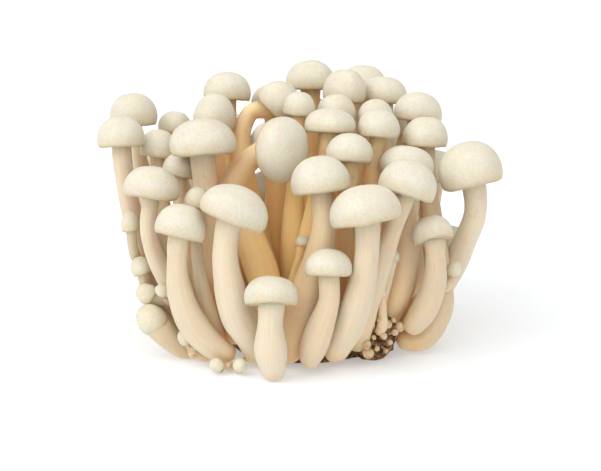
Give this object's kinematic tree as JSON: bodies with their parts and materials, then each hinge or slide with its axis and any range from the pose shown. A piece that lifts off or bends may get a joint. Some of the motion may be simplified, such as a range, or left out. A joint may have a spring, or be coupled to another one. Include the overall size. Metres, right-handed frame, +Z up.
{
  "type": "shimeji mushroom bunch",
  "caption": "Bunch of small white mushrooms with domed caps on curved, swollen stems, grown together from a plug of growing medium and standing on its flat underside.",
  "frame": {"origin": "middle of the bunch's bounding box, on the plane that it stands on", "axes": "+Z up from the base to the caps, the pictured front towards -Y, +X to the right seen from the front"},
  "size_m": [0.116, 0.1056, 0.0784],
  "materials": {
    "mushroom_flesh": "satin, faintly fibrous fresh mushroom flesh, near-white on the caps and creamier down the stems",
    "growing_medium": "matt, crumbly, moist brown growing medium with pale pinheads"
  },
  "bodies": {
    "root": {"mushroom_left_outer": "mushroom_flesh", "mushroom_left_back": "mushroom_flesh", "mushroom_left_rear": "mushroom_flesh", "mushroom_left_inner": "mushroom_flesh", "mushroom_left_tucked": "mushroom_flesh", "mushroom_left_front": "mushroom_flesh", "mushroom_left_low_front": "mushroom_flesh", "mushroom_front_left_wide": "mushroom_flesh", "mushroom_front_low": "mushroom_flesh", "mushroom_front_short": "mushroom_flesh", "mushroom_front_centre": "mushroom_flesh", "mushroom_front_right_wide": "mushroom_flesh", "mushroom_right_front": "mushroom_flesh", "mushroom_right_low_front": "mushroom_flesh", "mushroom_right_outer": "mushroom_flesh", "mushroom_right_bowed": "mushroom_flesh", "mushroom_right_tucked": "mushroom_flesh", "mushroom_centre_left_wide": "mushroom_flesh", "mushroom_centre_left_round": "mushroom_flesh", "mushroom_top_left": "mushroom_flesh", "mushroom_top_left_middle": "mushroom_flesh", "mushroom_top_bent": "mushroom_flesh", "mushroom_centre_facing": "mushroom_flesh", "mushroom_centre_slim": "mushroom_flesh", "mushroom_centre_high": "mushroom_flesh", "mushroom_centre_back": "mushroom_flesh", "mushroom_centre_right": "mushroom_flesh", "mushroom_right_inner": "mushroom_flesh", "mushroom_top_middle": "mushroom_flesh", "mushroom_top_right_middle": "mushroom_flesh", "mushroom_top_far_right": "mushroom_flesh", "mushroom_top_right": "mushroom_flesh", "mushroom_right_upper_slim": "mushroom_flesh", "mushroom_right_upper": "mushroom_flesh", "mushroom_back_left_high": "mushroom_flesh", "mushroom_back_middle_high": "mushroom_flesh", "mushroom_back_right_high": "mushroom_flesh", "mushroom_back_left_outer": "mushroom_flesh", "mushroom_back_left_mid": "mushroom_flesh", "mushroom_back_middle_wide": "mushroom_flesh", "mushroom_back_right_mid": "mushroom_flesh", "mushroom_back_right_outer": "mushroom_flesh", "mushroom_right_side_mid": "mushroom_flesh", "mushroom_back_left_low": "mushroom_flesh", "mushroom_back_middle_low": "mushroom_flesh", "mushroom_back_right_low": "mushroom_flesh", "young_left_upper": "mushroom_flesh", "young_left_low": "mushroom_flesh", "bud_left_high": "mushroom_flesh", "bud_left_middle": "mushroom_flesh", "bud_left_lumpy": "mushroom_flesh", "bud_left_floor": "mushroom_flesh", "bud_left_side": "mushroom_flesh", "bud_floor_left": "mushroom_flesh", "bud_floor_middle": "mushroom_flesh", "young_centre": "mushroom_flesh", "young_right": "mushroom_flesh", "young_right_outer": "mushroom_flesh", "bud_right_low": "mushroom_flesh", "growing_medium": "growing_medium"}
  },
  "joints": []
}
